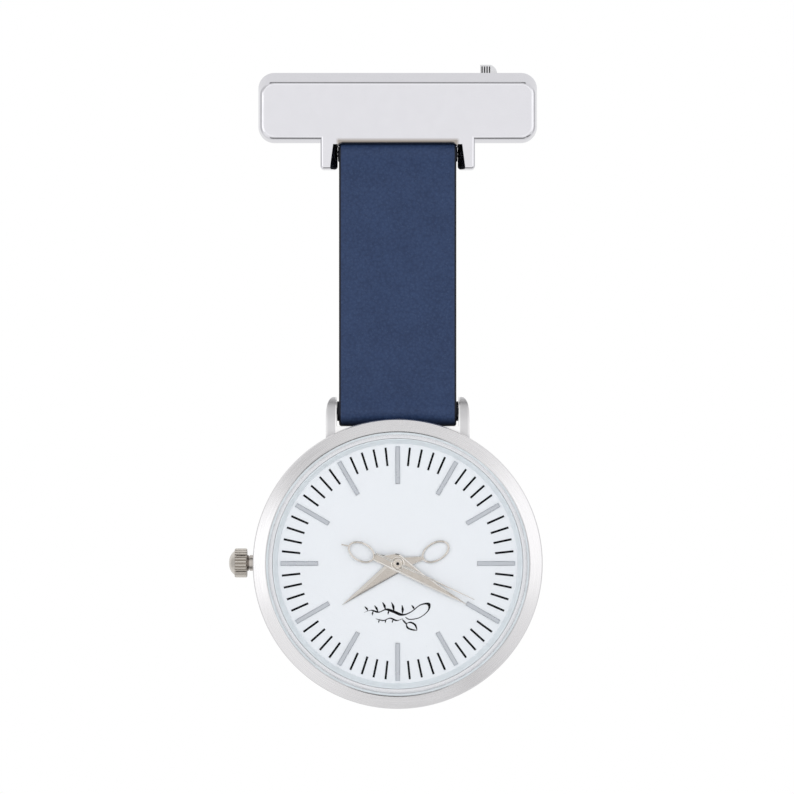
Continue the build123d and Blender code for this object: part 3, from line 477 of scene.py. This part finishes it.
# looks by material slot
looks = {
    "plated_steel": brushed("satin plating", steel, 0.25, across),
    "pin_steel": brushed("drawn wire", (0.6, 0.6, 0.61), 0.2, across, 12),
    "spring_bar_steel": brushed("turned steel", (0.3, 0.3, 0.31), 0.3, across),
    "navy_leather": leather(),
    "case_steel": lug_steel("satin steel", (0.69, 0.685, 0.69)),
    "bezel_steel": turned("circular brushing", (0.82, 0.81, 0.815), case_centre, 0.26, 7, 0.0007, 0.02),
    "crystal_glass": glass("mineral glass", (0.99, 0.995, 1.0)),
    "gasket_nylon": moulded("nylon gasket", (0.64, 0.69, 0.72), 0.4),
    "chapter_ring_silver": moulded("silver lacquer", (0.85, 0.895, 0.915), 0.35, contrast=0.01),
    "white_dial": turned("matt white lacquer", dial_white, case_centre, 0.5, 3, 0.0004, 0.004, metal=0.0),
    "marker_silver": polished("polished silver", (0.57, 0.585, 0.61), 0.34),
    "dial_print": ink("printing ink"),
    "gasket_rubber": moulded("black rubber", (0.02, 0.02, 0.021), 0.6),
    "holder_plastic": moulded("holder plastic", (0.74, 0.74, 0.71), 0.45),
    "movement_plate": turned("nickel plate", (0.66, 0.64, 0.57), case_centre, 0.28, 5, 0.0015),
    "screw_steel": polished("screw steel", (0.5, 0.51, 0.54), 0.12),
    "battery_steel": turned("battery steel", (0.66, 0.66, 0.67), middle("battery"), 0.3, 8, 0.0015),
    "spring_steel": brushed("rolled sheet", (0.56, 0.56, 0.57), 0.3, across),
    "coil_copper": brushed("enamelled wire", (0.62, 0.25, 0.1), 0.3, upright, 14, 0.02),
    "board_green": moulded("solder mask", (0.02, 0.17, 0.08), 0.35),
    "can_metal": brushed("drawn can", (0.74, 0.74, 0.75), 0.25, across),
    "chip_black": moulded("black epoxy", (0.015, 0.015, 0.016), 0.25),
    "gear_brass": turned("turned brass", (0.78, 0.56, 0.24), case_centre, 0.26, 8, 0.0015),
    "gear_steel": brushed("hardened steel", (0.52, 0.52, 0.53), 0.26, across),
    "rotor_magnet": moulded("sintered magnet", (0.12, 0.115, 0.115), 0.4, metal=0.7),
    # the hands' second colour is the painted highlight on their bevels
    "hand_nickel": cut_edges("hand nickel", (0.59, 0.535, 0.475), (0.98, 0.93, 0.86), 0.12),
}
# nodes darkened in a place of their own: painted shade on the bar's lip, the tube's end and the catch's
# grooves, and darker flute bottoms on the crown
own_looks = {
    "brooch_bar": darkened_metal("plating with painted shade on its lip", chrome, (0.4, 0.36, 0.325), 0.075, lip_painted_shade, 0.008),
    "crown": darkened_metal("fluted nickel", (0.71, 0.67, 0.61), (0.27, 0.235, 0.2), 0.24, in_flutes),
    "case_tube": darkened_metal("neck nickel", (0.56, 0.52, 0.48), (0.22, 0.19, 0.165), 0.25, in_collar),
    "catch_sleeve": darkened_metal("serrated plating", (0.7, 0.7, 0.71), (0.03, 0.03, 0.03), 0.2, in_serrations),
}

for part in frame["record"]["subparts"]:
    shown = frame["nodes"][part["node"]]
    soften(shown.data)
    flats = shown.modifiers.new("flat faces stay flat", "WEIGHTED_NORMAL")
    flats.keep_sharp = True
    shown.data.materials.clear()
    shown.data.materials.append(own_looks.get(part["node"]) or looks[part["material_slot"]])


# ------------------------------------------------------------------ strap
loop_radius, half_middle, taper = 2.0, 1.22, 2.6
bore_radius = 0.83
# the lining of each loop, dark with the edge colour, which also stands in for the shade between strap and
# lugs: the spring bar's axis, the lining's radius and how far out it stands
linings = ((upper_axis, 1.0, 7.86), (lower_axis, 1.3, 7.98))
lining_edge = 0.05


def strap_section(drop):
    """The strap seen from the side, as (y, z) points: two loops and the stretch between, taken in by drop."""
    loop_steps, straight_steps = 28, 26
    radius, half = loop_radius - drop, half_middle - drop
    lean = asin((loop_radius - half_middle) / taper)
    sweep = pi + 2 * lean
    top, bottom = upper_axis.z - taper, lower_axis.z + taper

    def loop(axis, start):
        angles = [start + sweep * i / loop_steps for i in range(loop_steps + 1)]
        return [(strap_plane + radius * cos(a), axis.z + radius * sin(a)) for a in angles]

    straight = [top + (bottom - top) * i / straight_steps for i in range(straight_steps + 1)]
    front = [(strap_plane - half, z) for z in straight]
    back = [(strap_plane + half, z) for z in reversed(straight)]
    return loop(upper_axis, -lean) + front + loop(lower_axis, pi - lean) + back


def uneven(x, y, z):
    """A point of the strap's surface, moved by a slight ripple, which is mostly inwards."""
    sunk = 0.012
    ripple = 0.012 * sin(0.55 * z + 0.3 * x) + 0.008 * sin(1.3 * z - 0.7 * x)
    moved = (ripple if y < strap_plane else -ripple) + (-sunk if y > strap_plane else sunk)
    return (x, y + moved, z)


def circle(radius, x, centre, count=32):
    """Points of a circle round an axis along X."""
    turn = 2 * pi / count
    return [(x, centre.y + radius * cos(i * turn), centre.z + radius * sin(i * turn)) for i in range(count)]


def fill(shape, loops):
    """Fills the first loop of points, with the others as holes in it."""
    bm = bmesh.new()
    made = {}
    for loop in loops:
        for index in loop:
            made[index] = bm.verts.new(shape.points[index])
        for a, b in zip(loop, loop[1:] + loop[:1]):
            bm.edges.new((made[a], made[b]))
    number = {v: index for index, v in made.items()}
    for f in bmesh.ops.triangle_fill(bm, use_beauty=True, edges=bm.edges[:])["geom"]:
        if isinstance(f, bmesh.types.BMFace):
            shape.faces.append(tuple(number[v] for v in f.verts))
    bm.free()


def strap_piece():
    """Two layers of leather glued back to back, soft along the edges and a little uneven."""
    edge_steps, flat_steps, crowning = 5, 10, 0.035
    shape = Shape()
    inner = strap_half_width - edge_round
    quarter = [radians(90) * i / edge_steps for i in range(edge_steps + 1)]
    edge = [(inner + edge_round * cos(t), edge_round * (1 - sin(t))) for t in quarter]
    flat = [(inner - 2 * inner * i / flat_steps, 0.0) for i in range(1, flat_steps)]
    rows = []
    for x, drop in edge + flat + [(-x, drop) for x, drop in reversed(edge)]:
        crown = crowning * (x / strap_half_width) ** 2
        rows.append(shape.add(uneven(x, y, z) for y, z in strap_section(drop + crown)))
    shape.bands(rows)
    # the loops' bores, and the linings that stand out round them
    holes = {1: [], -1: []}
    for axis, radius, end in linings:
        mouths = []
        for side in (1, -1):
            foot = shape.add(circle(radius, side * strap_half_width, axis))
            shoulder = shape.add(circle(radius, side * (end - lining_edge), axis))
            rim = shape.add(circle(radius - lining_edge, side * end, axis))
            mouth = shape.add(circle(bore_radius, side * end, axis))
            shape.bands((foot, shoulder, rim, mouth))
            mouths.append(mouth)
            holes[side].append(foot)
        shape.bands(mouths)
    fill(shape, [rows[0]] + holes[1])
    fill(shape, [rows[-1]] + holes[-1])
    return shape.piece("leather_strap", "strap", "navy_leather", 50, ["strap"])


strap_piece()


# ------------------------------------------------------------------ hands
plate_rim = 0.03  # how high the upright edge of a hand's blade is, under its bevel


def inset(outline, widths):
    """The outline with each edge moved inwards by its own width. Points run anticlockwise."""
    nearly_parallel = 0.03
    count = len(outline)
    lines = []
    for i in range(count):
        (x0, y0), (x1, y1) = outline[i], outline[(i + 1) % count]
        length = hypot(x1 - x0, y1 - y0)
        dx, dy = (x1 - x0) / length, (y1 - y0) / length
        lines.append((x0 - dy * widths[i], y0 + dx * widths[i], dx, dy))
    corners = []
    for i in range(count):
        ax, ay, adx, ady = lines[i - 1]
        bx, by, bdx, bdy = lines[i]
        cross = adx * bdy - ady * bdx
        if abs(cross) < nearly_parallel:
            width = (widths[i - 1] + widths[i]) / 2
            corners.append((outline[i][0] - bdy * width, outline[i][1] + bdx * width))
            continue
        t = ((bx - ax) * bdy - (by - ay) * bdx) / cross
        corners.append((ax + adx * t, ay + ady * t))
    return corners


def bevelled_plate(shape, outline, widths, place, low, high):
    """A flat plate whose upper edges are bevelled, each by its own width."""
    foot = shape.add(over(*place(*p), low) for p in outline)
    shoulder = shape.add(over(*place(*p), low + plate_rim) for p in outline)
    crest = shape.add(over(*place(*p), high) for p in inset(outline, widths))
    shape.bands((foot, shoulder, crest))
    shape.cap(crest, foot)


def finger_ring(shape, centre, size, turn, place, low, high):
    """An oval ring of half-round wire."""
    count, profile, half_wire = 72, 8, 0.14
    tilted = turned_by(turn)
    middle_size = (size[0] - half_wire, size[1] - half_wire)
    rows = []
    for i in range(count):
        t = 2 * pi * i / count
        ex, ey = middle_size[0] * cos(t), middle_size[1] * sin(t)
        nx, ny = cos(t) / middle_size[0], sin(t) / middle_size[1]
        length = hypot(nx, ny)
        row = []
        for j in range(profile + 1):
            u = pi * j / profile
            off = half_wire * cos(u) / length
            x, y = tilted(ex + nx * off, ey + ny * off)
            row.append(over(*place(centre[0] + x, centre[1] + y), low + (high - low) * sin(u)))
        rows.append(shape.add(row))
    shape.bands(rows + rows[:1])


def lathe(shape, profile, count=56):
    """A surface of revolution round the case's axis, from (radius, h) points."""
    turn = 2 * pi / count
    rows = []
    for radius, h in profile:
        rows.append(shape.add(over(radius * cos(i * turn), radius * sin(i * turn), h) for i in range(count)))
    shape.bands(rows)
    return rows


def hour_hand():
    """One half of the scissors: blade, shank and finger ring, pointing along its own +X."""
    low, high = heights("hour_hand")
    place = turned_by(216.7)
    shape = Shape()
    outline = (
        (9.22, 0),
        (0.64, 1.08),
        (-1.46, 1.3),
        (-3.1, 1.72),
        (-3.3, 1.2),
        (-1.72, 0.16),
        (-0.86, -0.48),
        (-0.36, -0.98),
    )
    widths = (0.2, 0.12, 0.12, 0.01, 0.12, 0.12, 0.1, 0.4)
    bevelled_plate(shape, outline, widths, place, low, high)
    finger_ring(shape, (-4.91, 1.73), (2.0, 1.28), -6, place, low, high)
    return shape.piece("hour_hand_scissor_half", "hours", "hand_nickel", 12, ["hour_hand"])


def minute_hand():
    """The other half, with a finger rest past its ring and a raised ring round the pivot."""
    low, high = heights("minute_hand")
    place = turned_by(-30.6)
    shape = Shape()
    outline = (
        (10.78, 0),
        (3.92, 0.5),
        (-0.4, 1.2),
        (-0.91, 1.01),
        (-2.01, 0.09),
        (-3.15, -0.35),
        (-2.95, -1.25),
        (0.71, -0.95),
        (5.63, -0.54),
    )
    widths = (0.14, 0.16, 0.14, 0.1, 0.14, 0.01, 0.16, 0.24, 0.14)
    bevelled_plate(shape, outline, widths, place, low, high)
    finger_ring(shape, (-4.87, -1.13), (1.92, 1.28), 2.6, place, low, high)
    rest_middle, tilted = (-7.16, -1.44), turned_by(19)
    rest = []
    for corner in ((0.52, -0.11), (0.52, 0.11), (-0.52, 0.09), (-0.52, -0.09)):
        x, y = tilted(*corner)
        rest.append((rest_middle[0] + x, rest_middle[1] + y))
    bevelled_plate(shape, rest, (0.01, 0.06, 0.06, 0.06), place, low, high)
    raised_ring = ((0.86, -0.02), (0.86, 0.02), (0.8, 0.05), (0.72, 0.02), (0.72, -0.02))
    lathe(shape, [(radius, high + rise) for radius, rise in raised_ring])
    return shape.piece("minute_hand_scissor_half", "minutes", "hand_nickel", 12, ["minute_hand"])


def seconds_hand():
    """A needle, ridged along the top, and its turned boss."""
    low, high = heights("seconds_hand")
    place = turned_by(-25.1)
    shape = Shape()
    base, side, crest = low + 0.08, low + 0.12, low + 0.2
    rows = []
    for x, half in ((-3.15, 0.1), (0.0, 0.16), (5.5, 0.1), (11.1, 0.045)):
        ridge = half * 0.35
        section = ((-half, base), (-half, side), (-ridge, crest), (ridge, crest), (half, side), (half, base))
        rows.append(shape.add(over(*place(x, y), h) for y, h in section))
    shape.bands(rows)
    shape.cap(rows[0], rows[-1])
    boss = (
        (0.15, low),
        (0.65, low),
        (0.65, high - 0.14),
        (0.6, high - 0.06),
        (0.5, high - 0.04),
        (0.44, high - 0.1),
        (0.4, high - 0.1),
        (0.35, high - 0.02),
        (0.17, high),
        (0.13, high - 0.04),
        (0.13, high - 0.1),
    )
    lathe(shape, boss)
    return shape.piece("seconds_hand_needle", "seconds", "hand_nickel", 30, ["seconds_hand"])


def hole_shade_dot():
    """A dark dot in the middle of the seconds hand's boss, painted shade standing in for the shaded hole
    there.
    """
    top = heights("seconds_hand")[1]
    shape = Shape()
    rows = lathe(shape, ((0.2, top - 0.02), (0.2, top + 0.015), (0.1, top + 0.025), (0.03, top + 0.028)), 24)
    shape.faces += [tuple(rows[-1]), tuple(rows[0])]
    return shape.piece("seconds_hub_dot", "seconds", "dial_print")


hour_hand()
minute_hand()
seconds_hand()
hole_shade_dot()


# ------------------------------------------------------------------ ornament printed on the dial
def smooth_line(corners, steps=14):
    """Points of a Catmull-Rom line through the corners."""
    ends = [corners[0], *corners, corners[-1]]
    points = []
    for four in zip(ends, ends[1:], ends[2:], ends[3:]):
        for i in range(steps):
            t = i / steps
            pulls = (2 * t**2 - t - t**3, 2 - 5 * t**2 + 3 * t**3, t + 4 * t**2 - 3 * t**3, t**3 - t**2)
            points.append(tuple(sum(pull * p[k] for pull, p in zip(pulls, four)) / 2 for k in (0, 1)))
    return points + [corners[-1]]


def pen_stroke(shape, corners, thin, thick, low, high, swell=3.5):
    """A printed stroke, thicker where the line runs across the pen's nib, and pointed at both ends."""
    nib, point = radians(40), 0.15
    points = smooth_line(corners)
    last = len(points) - 1
    rows = []
    for i, (x, z) in enumerate(points):
        x0, z0 = points[max(i - 1, 0)]
        x1, z1 = points[min(i + 1, last)]
        heading = atan2(z1 - z0, x1 - x0)
        narrowed = min(1.0, point + swell * min(i, last - i) / last)
        half = narrowed * (thin + (thick - thin) * abs(sin(heading - nib)) ** 2) / 2
        dx, dz = -sin(heading) * half, cos(heading) * half
        right, left = (x - dx, z - dz), (x + dx, z + dz)
        rows.append(shape.add((over(*right, low), over(*right, high), over(*left, high), over(*left, low))))
    shape.bands(rows)
    shape.cap(rows[0], rows[-1])


def leaf(shape, base, heading, length, width, low, high):
    """A small filled leaf that bends a little."""
    a, bend = radians(heading), radians(14)
    half = length / 2
    knee = (base[0] + half * cos(a), base[1] + half * sin(a))
    tip = (knee[0] + half * cos(a + bend), knee[1] + half * sin(a + bend))
    pen_stroke(shape, (base, knee, tip), width, width, low, high, swell=1.7)


def ornament():
    """A plain vine: a waved stem with leaves that ends in a curl, and a smaller one below it."""
    low = heights("hour_markers")[0]  # the dial's surface
    high = low + 0.03
    shape = Shape()
    stem = (
        (-4.4, -6.45),
        (-3.5, -6.15),
        (-2.5, -6.4),
        (-1.5, -6.05),
        (-0.5, -6.35),
        (0.6, -6.75),
        (1.7, -6.4),
        (3.0, -5.45),
        (4.05, -5.35),
        (4.0, -6.2),
        (2.9, -7.1),
        (1.6, -7.35),
        (1.0, -7.05),
    )
    twig = ((0.75, -7.2), (-0.1, -7.5), (-1.0, -7.2), (-1.9, -7.5), (-2.9, -7.25))
    pen_stroke(shape, stem, 0.12, 0.42, low, high)
    pen_stroke(shape, twig, 0.1, 0.22, low, high)
    # foot of each leaf, its heading in degrees, length and width
    leaves = (
        ((-3.9, -6.25), 120, 0.75, 0.26),
        ((-3.2, -6.25), -110, 0.6, 0.22),
        ((-2.6, -6.35), 112, 0.95, 0.3),
        ((-1.6, -6.1), 105, 1.1, 0.32),
        ((-1.1, -6.15), -115, 0.6, 0.22),
        ((-0.5, -6.3), 98, 1.25, 0.34),
        ((0.6, -6.65), 85, 1.2, 0.32),
        ((-0.55, -7.35), -120, 0.5, 0.18),
        ((-1.5, -7.35), -115, 0.5, 0.18),
        ((-2.4, -7.4), -110, 0.45, 0.18),
        ((2.2, -6.1), 115, 0.75, 0.26),
    )
    for foot, heading, length, width in leaves:
        leaf(shape, foot, heading, length, width, low, high)
    # the large leaf below, drawn in outline
    stalk = ((0.6, -7.35), (1.0, -7.8), (1.25, -8.0))
    leaf_over = ((1.1, -7.9), (1.7, -7.75), (2.3, -8.1), (2.55, -8.8))
    leaf_under = ((1.1, -7.9), (1.3, -8.45), (1.9, -8.7), (2.55, -8.8))
    pen_stroke(shape, stalk, 0.1, 0.2, low, high)
    pen_stroke(shape, leaf_over, 0.14, 0.24, low, high)
    pen_stroke(shape, leaf_under, 0.14, 0.24, low, high)
    return shape.piece("dial_vine", "case", "dial_print")


ornament()


# ------------------------------------------------------------------ stage, light and camera
def ramp(room, value, stops):
    """Grey levels along value, which runs from -1 to 1, from (value, level) stops in order."""
    made = room.node("ShaderNodeValToRGB", {0: room.spread(value, 0, 1, -1, 1)})
    elements = made.color_ramp.elements
    elements.remove(elements[1])
    elements[0].position = (stops[0][0] + 1) / 2
    for index, (place, level) in enumerate(stops):
        stop = elements[0] if index == 0 else elements.new((place + 1) / 2)
        stop.color = (level, level, level * 1.01, 1)
    return made.outputs[0]


def studio():
    """A white room for the metal to mirror. The camera itself sees plain white.

    Dark strips above and below the viewer draw lines in polished edges.
    """
    world = bpy.data.worlds.new("studio")
    bpy.context.scene.world = world
    world.use_nodes = True
    room = Nodes(world.node_tree)
    sky = room.tree.nodes["Background"]
    x, y, z = room.xyz(room.node("ShaderNodeTexCoord").outputs["Generated"])
    sideways = room.math("ABSOLUTE", x)
    # grey levels by height: in line with the viewer, to the left and right of that, and behind the watch
    lined = ((-1.0, 0.3), (-0.92, 0.15), (-0.82, 0.15), (-0.76, 0.9), (0.0, 0.97), (0.4, 0.97))
    lined += ((0.52, 0.8), (0.74, 0.8), (0.8, 1.0), (0.84, 0.02), (0.965, 0.02), (0.985, 1.0), (1.0, 1.0))
    left = ((-1.0, 0.8), (-0.7, 0.97), (0.2, 0.97), (0.42, 0.64), (0.6, 0.66), (0.8, 0.85), (1.0, 0.97))
    right = ((-0.9, 0.8), (-0.85, 0.25), (-0.64, 0.25), (-0.58, 0.82), (0.0, 0.97))
    right += ((0.4, 0.97), (0.52, 0.82), (0.8, 0.82), (1.0, 0.97))
    rear = ((-1.0, 0.8), (0.0, 0.85), (0.6, 0.86), (0.9, 0.84), (1.0, 0.7))
    flanks = room.mixed(room.spread(x, 0, 1, -0.1, 0.1), ramp(room, z, left), ramp(room, z, right))
    ahead = room.mixed(room.spread(sideways, 0, 1, 0.28, 0.38), ramp(room, z, lined), flanks)
    walls = room.mixed(room.spread(y, 0, 1, -0.12, 0.12), ahead, ramp(room, z, rear))
    shaded = room.mixed(room.spread(sideways, 0, 1, 0.8, 0.95), walls, (0.6, 0.6, 0.61))
    room.tree.links.new(shaded, sky.inputs["Color"])
    # a ring of light round the viewer, which lights the dial but is mirrored by neither bar nor bezel
    ring = ramp(room, y, ((-0.985, 0.0), (-0.975, 1.0), (-0.92, 1.0), (-0.89, 0.0)))
    room.tree.links.new(room.math("MULTIPLY_ADD", ring, 0.15, 1.0), sky.inputs["Strength"])
    plain = room.node("ShaderNodeBackground", {"Color": (1, 1, 1, 1)})
    by_camera = room.node("ShaderNodeLightPath").outputs["Is Camera Ray"]
    seen = room.node("ShaderNodeMixShader", {0: by_camera, 1: sky.outputs[0], 2: plain.outputs[0]})
    room.tree.links.new(seen.outputs[0], room.tree.nodes["World Output"].inputs["Surface"])


def softbox(name, place, size, power, mirrored=True):
    """A round lamp aimed at the middle of the watch; polished parts may be kept from mirroring it."""
    data = bpy.data.lights.new(name, "AREA")
    data.shape = "DISK"
    data.size = size * MM
    data.energy = power
    lamp = put(name, data)
    lamp.visible_glossy = mirrored
    lamp.location = Vector(place) * MM
    target = (cad_box[0] + cad_box[1]) / 2 / MM
    lamp.rotation_euler = (target - Vector(place)).to_track_quat("-Z", "Y").to_euler()


def pale_floor():
    """A plain floor, well below the hanging watch."""
    below_watch, half_side = 260, 1500
    z = cad_box[0].z / MM - below_watch
    mesh = bpy.data.meshes.new("floor")
    corners = [(x * half_side, y * half_side, z) for x, y in ((-1, -1), (1, -1), (1, 1), (-1, 1))]
    mesh.from_pydata([tuple(c * MM for c in p) for p in corners], [], [(0, 1, 2, 3)])
    mesh.materials.append(moulded("floor", (0.93, 0.93, 0.93), 0.8, 40, 0.0, contrast=0.005))
    floor = put("floor", mesh)
    floor.visible_glossy = False  # polished parts mirror the studio's own lower half


def aim_camera():
    """A long lens straight in front of the watch."""
    view_height = 104.62  # what the camera frames at the strap's depth
    view_x, above_case = -0.09, 21.87  # where it points
    lens, sensor = 200, 36
    data = bpy.data.cameras.new("camera")
    data.lens, data.sensor_width = lens, sensor
    camera = put("camera", data)
    distance = view_height * lens / sensor
    camera.location = Vector((view_x, strap_plane - distance, case_centre.z + above_case)) * MM
    camera.rotation_euler = (pi / 2, 0, 0)
    bpy.context.scene.camera = camera


studio()
softbox("key", (-380, -440, -40), 300, 0.09)
softbox("fill", (420, -380, 20), 420, 0.12)
softbox("front", (-120, -520, 60), 400, 0.58, mirrored=False)
pale_floor()
aim_camera()
bpy.context.scene.view_settings.view_transform = "Standard"
